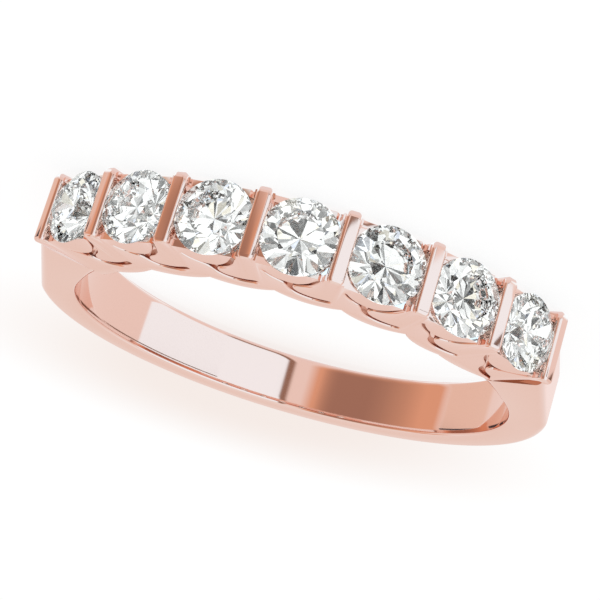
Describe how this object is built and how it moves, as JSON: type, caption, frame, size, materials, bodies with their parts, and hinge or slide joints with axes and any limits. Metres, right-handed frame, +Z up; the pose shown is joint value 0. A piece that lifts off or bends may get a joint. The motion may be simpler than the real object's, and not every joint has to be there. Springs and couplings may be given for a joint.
{
  "type": "wedding ring",
  "caption": "Bar-set wedding band: round stones held between upright bars, with pierced strand galleries and a polished tapering shank.",
  "frame": {"origin": "on the surface that the ring lies on, below the middle of its box", "axes": "+Z up and along the finger hole, the row of stones faces -Y"},
  "size_m": [0.0204, 0.022, 0.0028],
  "materials": {
    "rose_gold": "mirror polished rose gold alloy",
    "stone": "cut and polished colourless diamond"
  },
  "bodies": {
    "root": {"band": "rose_gold", "stone_1": "stone", "stone_2": "stone", "stone_3": "stone", "stone_4": "stone", "stone_5": "stone", "stone_6": "stone", "stone_7": "stone"}
  },
  "joints": []
}
